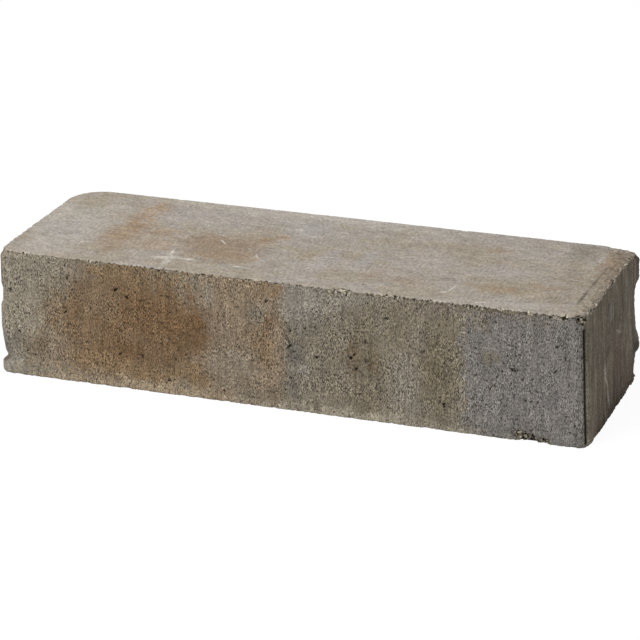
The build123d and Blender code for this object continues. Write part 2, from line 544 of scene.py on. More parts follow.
TOP_STAINS_AND_PAINTED_SHADE = marks(
    Face.TOP,
    (-30, 72, 170, 26, Tone.BED_SCUFF, 0.7), (-192, -10, 36, 80, Tone.BED_PALE, 0.9),
    (-214, 20, 12, 50, Tone.BED_SCUFF, 0.5), (-176, 42, 14, 12, Tone.BED_SCUFF, 0.5),
    (-195, -20, 22, 28, Tone.BED_LILAC, 0.9), (-202, 46, 18, 13, Tone.BED_TAN, 0.8),
    (-95, 40, 60, 26, Tone.BED_LILAC, 0.8), (-22, 40, 30, 26, Tone.BED_BLUE, 0.9),
    (-148, 30, 15, 50, Tone.BED_PEACH, 0.85, 0.8), (-150, 20, 12, 40, Tone.BED_ORANGE, 0.5, 0.9),
    (-148, -18, 23, 48, Tone.BED_ORANGE, 0.85, 0.9), (-142, -46, 18, 18, Tone.BED_BROWN, 0.35),
    (-144, 4, 13, 18, Tone.BED_ORANGE, 0.85, 0.9), (-146, 50, 12, 12, Tone.BED_ORANGE, 0.5),
    (-122, -2, 22, 15, Tone.BED_ORANGE, 0.75, 0.9), (-118, -28, 20, 16, Tone.BED_PEACH, 0.95),
    (-68, -18, 50, 38, Tone.BED_BROWN, 0.9, 0.75), (-85, -8, 20, 18, Tone.BED_BROWN, 0.7),
    (-44, 4, 14, 16, Tone.BED_ORANGE, 0.75, 0.8), (-34, 14, 8, 8, Tone.BED_ORANGE, 0.8),
    (-56, -36, 30, 14, Tone.BED_ORANGE, 0.75), (-78, 6, 10, 5, Tone.BED_PALE, 0.6),
    (-20, -30, 13, 30, Tone.BED, 0.9), (-2, -16, 14, 16, Tone.BED_TAN, 0.9),
    (2, -14, 7, 11, Tone.BED_ORANGE, 0.4, 0.9), (15, -18, 8, 40, Tone.BED_LILAC, 0.8),
    (42, -8, 9, 28, Tone.BED_BLUE, 0.8), (-110, -64, 95, 12, Tone.BED_TAN, 0.55),
    (-60, -44, 50, 14, Tone.BED_BROWN, 0.35), (54, -38, 15, 14, Tone.BED_PEACH, 0.55, 0.9),
    (80, -44, 19, 10, Tone.BED_ORANGE, 0.4, 0.9), (76, -40, 44, 20, Tone.BED_BROWN, 0.22),
    (110, 34, 34, 24, Tone.BED_TAN, 0.7), (130, 38, 16, 11, Tone.BED_ORANGE, 0.5, 0.9),
    (90, 2, 32, 20, Tone.BED_LILAC, 0.6), (160, 0, 34, 16, Tone.BED_LILAC, 0.7),
    (170, 12, 34, 22, Tone.BED_TAN, 0.5), (197, -22, 20, 58, Tone.BED_WORN, 0.5),
    (164, -36, 44, 18, Tone.BED_TAN, 0.9), (150, -38, 32, 12, Tone.BED_ORANGE, 0.75, 1.0),
    # the second row: painted shade on the slope of the worn back right corner
    (180, -24, 18, 6, Tone.BED_ORANGE, 0.5), (188, 56, 17, 30, Tone.BED_DUSK, 0.8),
    (176, -62, 30, 9, Tone.BED_PALE, 0.6), (216, 30, 14, 56, Tone.BED_WORN, 0.95, 0.5),
    (216, -40, 10, 44, Tone.BED_TAN, 0.8, 0.5), (211, 44, 9, 26, Tone.BED_ORANGE, 0.7),
    (-108, -53.5, -89, -50, 8.0, Tone.SCRAPE, 0.75), (-88, -50.5, -76, -50, 6.0, Tone.SCRAPE, 0.8),
    (-95.5, -46, -94, -74, 8.0, Tone.BED_SCUFF, 0.8), (-99.5, -35, -97, -46, 4.4, Tone.SCRAPE, 0.7),
    (-46, -54, -38, -53.3, 3.0, Tone.SCRAPE, 0.7), (-74.5, -3.3, -67, -12.5, 1.9, Tone.SCRAPE, 0.9),
    (-50.6, -12.5, -43.8, -18.8, 1.6, Tone.SCRAPE, 0.7), (-38.5, -26, -32.8, -34, 1.8, Tone.SCRAPE, 0.9),
    (-30, 35.5, -22, 35.5, 4.0, Tone.SCRAPE, 0.7), (-100, 14, -94, 26, 7.0, Tone.BED_PALE, 0.8),
    (113, -58, 118, -54, 2.6, Tone.SCRAPE, 0.8), (117, -55, 119.5, -41, 2.2, Tone.SCRAPE, 0.8),
    (187, -3.5, 209, -4.5, 1.8, Tone.SCRAPE, 0.6), (171, -44.5, 181, -45.5, 2.0, Tone.SCRAPE, 0.6),
    # the dark lines near x 211, here and on the next line, are painted shade of the step down to the worn
    # strip
    (139.5, -69.7, 150, -66.5, 3.0, Tone.SCRAPE, 0.5), (210.3, -54, 210.3, -14, 4.0, Tone.SMUDGE, 1.0),
    (210.6, -20, 211.2, 10, 3.4, Tone.SMUDGE, 0.9), (211.2, 4, 211.6, 36, 3.0, Tone.SMUDGE, 0.6),
)


def ripple(points: np.ndarray, grain: float, octaves: int = 2, shift: float = 0.0) -> np.ndarray:
    """Smooth noise from about -1 to 1 at some points, with finer waves for each octave."""
    spread = (points / grain + shift).tolist()
    return np.array([noise.fractal(Vector(p), 1.0, 2.0, octaves) for p in spread])


def ramp(values: np.ndarray, start: float, end: float) -> np.ndarray:
    """Goes smoothly from 0 at start to 1 at end; start may be the larger."""
    t = np.clip((values - start) / (end - start), 0.0, 1.0)
    return t * t * (3 - 2 * t)


@dataclass
class Skin:
    """The points of the block's skin while it is shaped.

    Args:
        sharp: The points on the sharp-edged block.
        points: The points as they are now.
        normals: Outward directions.
        masks: Point attributes.
    """

    sharp: np.ndarray
    points: np.ndarray
    normals: np.ndarray
    masks: dict[Mask, np.ndarray] = field(default_factory=dict)

    def __post_init__(self) -> None:
        """Starts every mask at nothing."""
        for mask in Mask:
            self.masks[mask] = np.zeros(len(self.points))

    def sink(self, where: np.ndarray, depth: np.ndarray) -> None:
        """Moves the points at some indices in along their normals, each by its own depth."""
        self.points[where] -= self.normals[where] * depth[:, None]

    def mark(self, mask: Mask, where: np.ndarray, value: np.ndarray) -> None:
        """Raises a mask to at least a value at some points."""
        self.masks[mask][where] = np.maximum(self.masks[mask][where], np.clip(value, 0.0, 1.0))


def edge_gap(sharp: np.ndarray) -> np.ndarray:
    """Distance of points on the sharp-edged block from the nearest of its twelve edges.

    Args:
        sharp: The points, one a row.

    Returns:
        One distance for each.
    """
    x, y, z = np.abs(sharp[:, 0]), np.abs(sharp[:, 1]), sharp[:, 2]
    gaps = np.stack([HALF_X - x, HALF_Y - y, np.minimum(z, TOP - z)], axis=1)
    return np.sort(gaps, axis=1)[:, 1]


class Form:
    """The block's plain form: rounded upright corners, rounded arrises and leaning ends."""

    def shape(self, sharp: np.ndarray) -> np.ndarray:
        """Moves points of the sharp-edged block onto the rounded, leaning one.

        Args:
            sharp: The points, one a row.

        Returns:
            The moved points.
        """
        points = self._round_corners(np.array(sharp, float))
        points = self._round_arris(points, BLOCK.top_arris, TOP)
        points = self._round_arris(points, BLOCK.foot_arris, 0.0)
        points[:, 0] *= BLOCK.half_length(points[:, 2]) / HALF_X
        return points

    def _corner_offsets(self, points: np.ndarray, corner: Corner) -> tuple[np.ndarray, np.ndarray]:
        """Offsets of points from the centre of a corner's rounding, outward along X and along Y.

        Args:
            points: The points.
            corner: The corner.

        Returns:
            The offsets along X and along Y.
        """
        radius = BLOCK.radius(corner)
        across = points[:, 0] * corner.value[0] - (HALF_X - radius)
        along = points[:, 1] * corner.value[1] - (HALF_Y - radius)
        return across, along

    def _round_corners(self, points: np.ndarray) -> np.ndarray:
        """Draws each square corner in to its quarter round."""
        for corner in Corner:
            across, along = self._corner_offsets(points, corner)
            inside = (across > 0) & (along > 0)
            a, b = across[inside], along[inside]
            pull = np.maximum(a, b) / np.hypot(a, b) - 1
            points[inside, 0] += corner.value[0] * a * pull
            points[inside, 1] += corner.value[1] * b * pull
        return points

    def inset(self, points: np.ndarray) -> tuple[np.ndarray, np.ndarray]:
        """How far points lie in from the outline seen from above, before the ends lean.

        Args:
            points: The points.

        Returns:
            The distances, and the outward directions in plan.
        """
        gap_x = HALF_X - np.abs(points[:, 0])
        gap_y = HALF_Y - np.abs(points[:, 1])
        to_end = gap_x < gap_y
        gap = np.where(to_end, gap_x, gap_y)
        outward = np.stack([np.sign(points[:, 0]) * to_end, np.sign(points[:, 1]) * ~to_end], axis=1)
        for corner in Corner:
            across, along = self._corner_offsets(points, corner)
            inside = (across > 0) & (along > 0)
            reach = np.hypot(across[inside], along[inside])
            gap[inside] = BLOCK.radius(corner) - reach
            outward[inside, 0] = corner.value[0] * across[inside] / reach
            outward[inside, 1] = corner.value[1] * along[inside] / reach
        return gap, outward

    def _round_arris(self, points: np.ndarray, arris: float, level: float) -> np.ndarray:
        """Rounds the edge round the top or the foot.

        Args:
            points: The points.
            arris: Radius of the edge.
            level: Height of the face that the edge runs round.

        Returns:
            The moved points.
        """
        gap, outward = self.inset(points)
        drop = np.abs(points[:, 2] - level)
        near = (gap < arris) & (drop < arris)
        u, w = arris - gap[near], arris - drop[near]
        pull = np.maximum(u, w) / np.hypot(u, w)
        points[near, :2] -= outward[near] * (u * (1 - pull))[:, None]
        up = 1.0 if level == 0.0 else -1.0
        points[near, 2] = level + up * (arris - w * pull)
        return points


@dataclass(frozen=True)
class Wear:
    """All that years outdoors and rough handling did to the block."""

    form: Form
    seam_turn: float = 38.0  # degrees round the corner from the right end
    seam_half_width: float = 1.35
    seam_depth: float = 1.4
    seam_margin: float = 8.0  # the seam fades out this far from the top
    worn_end_width: float = 9.0
    worn_end_drop: float = 0.9
    worn_corner_along: float = 27.0
    worn_corner_across: float = 60.0
    worn_corner_drop: float = 1.7
    wave_depth: float = 0.25
    arris_reach: float = 3.0
    arris_share: float = 0.25  # how far every arris is worn, and how much further in some places
    top_share: float = 0.60
    right_share: float = 0.40
    foot_share: float = 0.55
    burr_share: float = 1.2
    back_spared: float = 0.75

    def apply(self, skin: Skin, pits: list[Pit]) -> None:
        """Wears the skin, from the broadest changes to the finest.

        Args:
            skin: The skin, which is changed.
            pits: The pits and nicks.
        """
        self._zones(skin)
        self._outlines(skin)
        self._waves(skin)
        self._worn_top(skin)
        self._arrises(skin)
        self._seam(skin)
        for number, chip in enumerate((*CHIPS, *arris_breaks())):
            self._chip(skin, chip, float(number))
        self._pits(skin, pits)
        self._keep_in_box(skin)

    def _zones(self, skin: Skin) -> None:
        """Marks the top and the ends.

        Args:
            skin: The skin, which is changed.
        """
        sharp = skin.sharp
        depth = TOP - skin.points[:, 2]
        on_top = sharp[:, 2] > TOP - 1e-3
        skin.masks[Mask.BED] = np.where(on_top, 1.0, ramp(depth, 1.4, 0.5))
        gap = BLOCK.half_length(skin.points[:, 2]) - np.abs(skin.points[:, 0])
        front_right = (skin.points[:, 0] > 0) & (skin.points[:, 1] < 0)
        skin.masks[Mask.END] = np.where(front_right, ramp(gap, 2.9, 2.2), ramp(gap, 7.0, 1.0))

    def _outlines(self, skin: Skin) -> None:
        """Draws the upright corners out and in.

        Args:
            skin: The skin, which is changed.
        """
        z = skin.points[:, 2]
        for number, outline in enumerate(OUTLINES):
            side_x, side_y = outline.corner.value
            x = side_x * BLOCK.half_length(z)
            away = np.hypot(skin.points[:, 0] - x, skin.points[:, 1] - side_y * HALF_Y)
            near = np.flatnonzero(away < 2.5 * outline.spread)
            heights, rises = np.array(outline.steps).T
            ragged = 0.8 * ripple(skin.points[near], 6.0, 2, 50.0 + number)
            rise = np.interp(z[near] + ragged, heights, rises)
            rise += outline.crumbs * ripple(skin.points[near], 2.6, 3, 60.0 + number)
            rise *= np.exp(-((away[near] / outline.spread) ** 2))
            skin.points[near, 0] += 0.75 * side_x * rise
            skin.points[near, 1] += 0.75 * side_y * rise

    def _waves(self, skin: Skin) -> None:
        """Broad, shallow unevenness of every face but the underside.

        Args:
            skin: The skin, which is changed.
        """
        rest = ramp(skin.points[:, 2], 0.0, 6.0)
        broad = 0.5 + 0.5 * ripple(skin.points, 70.0, 2)
        close = 0.5 + 0.5 * ripple(skin.points, 14.0, 2, 9.0)
        depth = self.wave_depth * (0.7 * broad + 0.3 * close) * rest
        skin.sink(np.arange(len(skin.points)), depth)

    def _worn_top(self, skin: Skin) -> None:
        """Slopes the top down to the right end and to the back right corner.

        Args:
            skin: The skin, which is changed.
        """
        points = skin.points
        edge = BLOCK.half_length(TOP)
        near = np.flatnonzero((points[:, 0] > edge - 45) & (points[:, 2] > TOP - 12))
        p = points[near]
        wander = 3.4 * ripple(p, 13.0, 4, 4.0)
        into_end = p[:, 0] - (edge - self.worn_end_width) + wander
        along, across = self.worn_corner_along, self.worn_corner_across
        slant = math.hypot(along, across)
        from_end = edge - p[:, 0]
        from_back = HALF_Y - p[:, 1]
        into_corner = (along * across - across * from_end - along * from_back) / slant + wander
        to_corner = along * across / slant
        drop = np.maximum(
            self.worn_end_drop * np.clip(into_end / self.worn_end_width, 0, 1.2),
            self.worn_corner_drop * np.clip(into_corner / to_corner, 0, 1.1),
        )
        worn = ramp(np.maximum(into_end, into_corner), -1.0, 3.0)
        rough = 0.55 * np.clip(0.3 + ripple(p, 3.0, 3, 2.0), 0, None) * worn
        fade = ramp(p[:, 2], TOP - 12, TOP - 2)
        points[near, 2] -= (drop + rough) * fade
        skin.mark(Mask.WORN, near, worn * skin.masks[Mask.BED][near])

    def _arrises(self, skin: Skin) -> None:
        """Nibbles the twelve edges, most of all round the top and up the back right corner.

        Args:
            skin: The skin, which is changed.
        """
        gap = edge_gap(skin.sharp)
        near = np.flatnonzero(gap < self.arris_reach)
        p = skin.points[near]
        weight = (1 - gap[near] / self.arris_reach) ** 1.5
        top = ramp(p[:, 2], TOP - 5, TOP - 2)
        foot = ramp(p[:, 2], 4, 1)
        right = ramp(p[:, 0], -20, 50)
        burr = ramp(p[:, 0], 205, 218) * ramp(p[:, 1], 40, 66)
        crumbs = np.clip(ripple(p, 2.6, 2, 11.0), 0, None)
        bites = np.clip(-0.12 + ripple(p, 8.0, 3, 17.0), 0, None)
        back = ramp(p[:, 1], 40, 60) * top
        share = self.arris_share + top * (self.top_share + self.right_share * right)
        share = share * (1 - self.back_spared * back) + self.foot_share * foot + self.burr_share * burr
        skin.sink(near, weight * share * (1.9 * crumbs + 2.4 * bites))
        # painted shade in the crumbs of the top arris
        skin.mark(Mask.HOLLOW, near, top * weight * ramp(crumbs, 0.12, 0.55) * (0.7 + 0.3 * right))
        skin.mark(Mask.BROKEN, near, 0.8 * top * right * weight * ramp(bites, 0.08, 0.30))

    def _seam(self, skin: Skin) -> None:
        """Cuts the mould seam down the front right corner.

        Args:
            skin: The skin, which is changed.
        """
        radius = BLOCK.radius(Corner.FRONT_RIGHT)
        half = BLOCK.half_length(skin.points[:, 2])
        across = skin.points[:, 0] - (half - radius)
        along = -skin.points[:, 1] - (HALF_Y - radius)
        turn = np.degrees(np.arctan2(along, across))
        arc = np.abs(np.radians(turn - self.seam_turn)) * radius
        inside = (across > 0) & (along > 0) & (np.hypot(across, along) > radius - 2.5)
        near = np.flatnonzero(inside & (arc < self.seam_half_width))
        z = skin.points[near, 2]
        top = TOP - self.seam_margin
        run = ramp(z, top, top - 4) * ramp(z, 1.0, 4.0)
        cut = (1 - (arc[near] / self.seam_half_width) ** 2) * run
        skin.sink(near, self.seam_depth * cut)
        # painted shade in the seam's groove
        skin.mark(Mask.HOLLOW, near, ramp(cut, 0.0, 0.75))

    def _chip(self, skin: Skin, chip: Chip, seed: float) -> None:
        """Breaks one ragged ball out of the skin.

        Args:
            skin: The skin, which is changed.
            chip: The break.
            seed: Moves the ball's raggedness, so that each differs.
        """
        outward = np.array(Vector(chip.outward).normalized())
        at = self.form.shape(np.array([chip.at]))[0]
        centre = at + outward * (chip.radius - chip.bite)
        offset = skin.points - centre
        near = np.flatnonzero((offset**2).sum(axis=1) < (1.3 * chip.radius) ** 2)
        q = offset[near]
        p = skin.points[near]
        ragged = 1 + 0.16 * ripple(p, 4.0, 3, 30 + seed) + 0.22 * ripple(p, 1.6, 2, seed)
        along = q @ outward
        room = (chip.radius * ragged) ** 2 - ((q**2).sum(axis=1) - along**2)
        push = along + np.sqrt(np.clip(room, 0, None))
        push = np.where(room > 0, np.clip(push, 0, None), 0.0)
        skin.points[near] -= outward * push[:, None]
        skin.mark(Mask.BROKEN, near, push / 0.5)
        # a little painted shade in the break
        skin.mark(Mask.HOLLOW, near, 0.2 * push / chip.bite)

    def _pits(self, skin: Skin, pits: list[Pit]) -> None:
        """Sinks the pits and nicks, each a little ragged.

        Args:
            skin: The skin, which is changed.
            pits: The pits and nicks.
        """
        tree = kdtree.KDTree(len(skin.points))
        for index, point in enumerate(skin.points.tolist()):
            tree.insert(point, index)
        tree.balance()
        middles = self.form.shape(np.array([pit.at for pit in pits]))
        for number, (pit, middle) in enumerate(zip(pits, middles.tolist())):
            found = tree.find_range(middle, pit.radius * 1.5 + 0.5)
            if not found:
                continue
            near = np.array([index for _, index, _ in found])
            away = np.array([distance for _, _, distance in found])
            ragged = pit.radius * (1 + 0.5 * ripple(skin.sharp[near], 1.2, 1, float(number)))
            profile = np.clip(1 - (away / ragged) ** 2, 0, 1)
            skin.sink(near, pit.depth * profile)
            # painted shade in each pit; a proud grain is marked as a light grain instead
            skin.mark(Mask.HOLLOW if pit.depth > 0 else Mask.GRAIN, near, 1.3 * profile)

    def _keep_in_box(self, skin: Skin) -> None:
        """Holds every point inside the solid's box."""
        low, high = (np.array(corner) / MM for corner in CAD_BOX)
        np.clip(skin.points, low, high, out=skin.points)


@dataclass(frozen=True)
class Scatter:
    """Seeded random pits on every face and nicks on every arris."""

    seed: int = 7
    margin: float = 4.0
    nick_step: float = 4.0

    def pits(self) -> list[Pit]:
        """Places the pits, in the order of the faces."""
        rng = np.random.default_rng(self.seed)
        made = []
        for face, count in zip(Face, (60, 100, 26, 22, 34, 40)):
            wide = HALF_Y if face in (Face.LEFT, Face.RIGHT) else HALF_X
            flat = face in (Face.TOP, Face.UNDERSIDE)
            low, high = (-HALF_Y, HALF_Y) if flat else (0.0, TOP)
            across = rng.uniform(-wide + self.margin, wide - self.margin, count)
            along = rng.uniform(low + self.margin, high - self.margin, count)
            radius = 0.55 + 0.5 * rng.random(count) ** 3
            made += [
                Pit(BLOCK.place(face, (a, b)), r, 0.9 * r) for a, b, r in zip(across, along, radius)
            ]
        return made

    def beside(self, chips: list[Chip]) -> list[Pit]:
        """Places small deep pits and proud light grains round each break.

        Args:
            chips: The breaks.

        Returns:
            The pits.
        """
        rng = np.random.default_rng(self.seed + 2)
        made = []
        for chip in chips:
            axis = 0 if abs(chip.outward[1]) > abs(chip.outward[0]) else 1
            for deep in (1.2, 1.2, 1.0, -0.4, -0.4):
                place = list(chip.at)
                place[axis] += rng.uniform(-1.5, 1.5) * chip.radius
                place[2] -= rng.uniform(0.0, 1.0) * chip.radius
                radius = rng.uniform(0.6, 1.1) if deep > 0 else rng.uniform(0.8, 1.3)
                made.append(Pit(tuple(place), radius, deep * radius))
        return made

    def nicks(self) -> list[Pit]:
        """Places the nicks along the arrises of the top, the foot and the right end."""
        rng = np.random.default_rng(self.seed + 1)
        made = []
        for z, usual in ((TOP, 1.0), (0.0, 0.45)):
            for side in (-1, 1):
                share = 0.4 if z and side > 0 else usual
                for x in np.arange(-HALF_X + 8, HALF_X - 8, self.nick_step / share):
                    made.append(self._nick((x, side * HALF_Y, z), rng, share, 0))
                for y in np.arange(-HALF_Y + 8, HALF_Y - 8, self.nick_step * 0.8 / usual):
                    made.append(self._nick((side * HALF_X, y, z), rng, usual, 1))
        return made

    def _nick(self, at: Place, rng: np.random.Generator, share: float, axis: int) -> Pit:
        """One nick near a place, moved at random along its arris and a little off it.

        Args:
            at: The place on the arris.
            rng: The random source.
            share: How large it may be, as a share of the largest.
            axis: The axis that the arris runs along.

        Returns:
            The nick.
        """
        place = list(at)
        place[axis] += rng.uniform(-0.5, 0.5) * self.nick_step
        radius = 0.5 + 1.2 * share * rng.random() ** 2.5
        return Pit(tuple(place), radius, 0.9 * radius)


@dataclass
class WallBlock:
    """The block itself: one closed skin, fine where its edges and marks need it.

    Args:
        pitch: Width of a face of the plain skin.
    """

    pitch: float = 3.0

    def build(self) -> bpy.types.Object:
        """Builds the block at its place.

        Returns:
            The finished object, without a material.
        """
        form = Form()
        wear = Wear(form)
        scatter = Scatter()
        pits = front_pits() + front_nicks() + scatter.pits() + scatter.nicks()
        pits += scatter.beside(arris_breaks())
        mesh = self._cut_skin(pits)
        sharp = self._read(mesh, 1.0)
        self._write(mesh, form.shape(sharp))
        normals = np.empty(len(mesh.vertices) * 3)
        mesh.vertex_normals.foreach_get("vector", normals)
        skin = Skin(sharp, self._read(mesh, 1 / MM), normals.reshape(-1, 3))
        wear.apply(skin, pits)
        self._write(mesh, skin.points)
        for mask, values in skin.masks.items():
            layer = mesh.attributes.new(mask.value, "FLOAT", "POINT")
            layer.data.foreach_set("value", values.astype(np.float32))
        mesh.shade_smooth()
        mesh.validate()
        piece = bpy.data.objects.new("wall_block_skin", mesh)
        bpy.context.scene.collection.objects.link(piece)
        return piece

    def _cut_skin(self, pits: list[Pit]) -> bpy.types.Mesh:
        """Cuts a box into small faces, smaller along its edges and round its marks.

        Args:
            pits: The pits and nicks.

        Returns:
            The triangulated mesh, still with sharp edges.
        """
        skin = bmesh.new()
        span = Vector((BLOCK.length, BLOCK.depth, TOP))
        lift = Matrix.Translation((0, 0, span.z / 2))
        bmesh.ops.create_cube(skin, size=1.0, matrix=lift @ Matrix.Diagonal((*span, 1.0)))
        for axis in range(3):
            along = [e for e in skin.edges if abs((e.verts[1].co - e.verts[0].co)[axis]) > 1.0]
            cuts = round(span[axis] / self.pitch) - 1
            bmesh.ops.subdivide_edges(skin, edges=along, cuts=cuts, use_grid_fill=True)
        spots = [(pit.at, pit.radius) for pit in pits]
        spots += [((HALF_X, HALF_Y - 4.5, z), 4.0) for z in range(2, 98, 4)]
        spots.append(((-HALF_X, 5.0 - HALF_Y, 11.0), 8.0))
        seen = [(pit.at, pit.radius) for pit in pits if self._seen(pit.at)]
        self._refine(skin, lambda centres, areas: self._along_edges(centres), 2)
        self._refine(skin, lambda centres, areas: (areas > 4.0) & self._near(centres, spots, 1.2), 2)
        self._refine(skin, lambda centres, areas: (areas < 2.0) & self._near(centres, seen, 0.25), 1)
        self._refine(skin, lambda centres, areas: (areas > 0.6) & self._fine_places(centres), 1)
        bmesh.ops.triangulate(skin, faces=skin.faces[:])
        bmesh.ops.recalc_face_normals(skin, faces=skin.faces[:])
        mesh = bpy.data.meshes.new("wall_block_skin")
        skin.to_mesh(mesh)
        skin.free()
        return mesh

    def _refine(
        self, skin: bmesh.types.BMesh, chosen: Callable[[np.ndarray, np.ndarray], np.ndarray], cuts: int
    ) -> None:
        """Divides the chosen faces.

        Args:
            skin: The mesh.
            chosen: Says from the faces' centres and areas which are divided.
            cuts: Cuts in each edge.
        """
        centres = np.array([face.calc_center_median() for face in skin.faces])
        picked = chosen(centres, np.array([face.calc_area() for face in skin.faces]))
        edges = {edge for face, take in zip(skin.faces, picked) if take for edge in face.edges}
        bmesh.ops.subdivide_edges(skin, edges=list(edges), cuts=cuts, use_grid_fill=True)
        log.info("skin refined: %d of %d faces, now %d", int(picked.sum()), len(picked), len(skin.faces))

    def _seen(self, at: Place) -> bool:
        """Whether a place lies on the front or the right end, or on their top arrises.

        Args:
            at: The place.

        Returns:
            True if it does and isn't at the foot.
        """
        front = at[1] <= 1e-3 - HALF_Y
        end = at[0] >= HALF_X - 1e-3
        return at[2] > 1.0 and (front or end)

    def _along_edges(self, centres: np.ndarray) -> np.ndarray:
        """Picks two rows each side of the top's edges and one each side of the others."""
        rows = np.where(centres[:, 2] > TOP - 2 * self.pitch - 0.1, 2.0, 1.0)
        return edge_gap(centres) < rows * self.pitch

    def _fine_places(self, centres: np.ndarray) -> np.ndarray:
        """Picks the front top arris, the seam and the breaks that the camera sees.

        Args:
            centres: Face centres.

        Returns:
            True for each that is picked.
        """
        x, y, z = centres.T
        gap = edge_gap(centres)
        arris = (gap < 1.6) & (z > TOP - 2) & ((y < -60) | (x > 210))
        corner_x = HALF_X - x
        corner_y = HALF_Y + y
        seam = (corner_x < 3.0) & (corner_y < 5.0) & (corner_y > -0.1)
        places = [(chip.at, chip.radius) for chip in CHIPS[:5]]
        return arris | seam | self._near(centres, places, 0.0)

    def _near(self, centres: np.ndarray, places: list[tuple[Place, float]], extra: float) -> np.ndarray:
        """Says which centres lie near some places.

        Args:
            centres: Face centres.
            places: Places, each with its own reach.
            extra: Added to every reach.

        Returns:
            True where a centre is near.
        """
        tree = kdtree.KDTree(len(centres))
        for index, centre in enumerate(centres.tolist()):
            tree.insert(centre, index)
        tree.balance()
        found = np.zeros(len(centres), bool)
        for place, reach in places:
            for _, index, _ in tree.find_range(place, reach + extra):
                found[index] = True
        return found

    def _read(self, mesh: bpy.types.Mesh, unit: float) -> np.ndarray:
        """Points of a mesh, one a row, in millimetres.

        Args:
            mesh: The mesh.
            unit: Millimetres in one of its units.

        Returns:
            The points.
        """
        flat = np.empty(len(mesh.vertices) * 3)
        mesh.vertices.foreach_get("co", flat)
        return flat.reshape(-1, 3) * unit

    def _write(self, mesh: bpy.types.Mesh, points: np.ndarray) -> None:
        """Puts points back into a mesh, in metres."""
        mesh.vertices.foreach_set("co", (points * MM).ravel())
        mesh.update()


class Pattern(Enum):
    """The concrete's noises.

    Each has the size of its grains along X, Y and Z, the number of finer layers and their strength, how far
    it is moved, so that no two are alike, and how far its shapes are bent.
    """

    WANDER = ((20.0, 20.0, 20.0), 5.0, 0.62, 0.0, 0.0)  # moves the borders of the stains
    MOTTLE = ((6.5, 6.5, 6.5), 4.0, 0.68, 91.0, 0.0)  # breaks them up
    PATCHES = ((62.0, 62.0, 48.0), 5.0, 0.55, 5.0, 0.4)
    COLUMNS = ((34.0, 34.0, 150.0), 5.0, 0.55, 12.0, 0.3)
    SPECKLE = ((0.55, 0.55, 1.9), 2.0, 0.8, 3.0, 0.0)  # the sand of the sides, drawn upright
    SAND = ((1.9, 1.9, 2.2), 3.0, 0.6, 111.0, 0.0)  # its coarser grains
    DRAG = ((2.0, 2.0, 26.0), 2.0, 0.6, 21.0, 0.0)  # the upright drag marks
    END_STREAKS = ((7.0, 6.0, 60.0), 3.0, 0.6, 25.0, 0.0)  # the broader ones of the ends
    CLOUD = ((8.0, 8.0, 10.0), 4.0, 0.65, 31.0, 0.0)
    ROUGH_PLACES = ((24.0, 24.0, 18.0), 4.0, 0.65, 131.0, 0.0)
    PORES = ((2.0, 2.0, 1.8), 2.0, 0.7, 71.0, 0.0)
    LIGHT_GRAINS = ((3.2, 3.2, 3.2), 2.0, 0.6, 81.0, 0.0)
    TOP_PATCHES = ((44.0, 26.0, 40.0), 6.0, 0.62, 41.0, 0.4)
    TOP_SPECKLE = ((2.0, 3.8, 2.0), 3.0, 0.75, 4.0, 0.0)
    TOP_STREAKS = ((12.0, 3.4, 4.0), 3.0, 0.65, 51.0, 0.0)
    TOP_CLOUD = ((13.0, 9.0, 9.0), 5.0, 0.66, 61.0, 0.0)
    TOP_PORES = ((3.0, 3.0, 3.0), 3.0, 0.65, 75.0, 0.0)
    TOP_BORDER = ((1.8, 1.8, 1.8), 3.0, 0.7, 3.0, 0.0)  # between the top's film and the sides
    SHEEN = ((6.0, 6.0, 6.0), 3.0, 0.6, 8.0, 0.0)


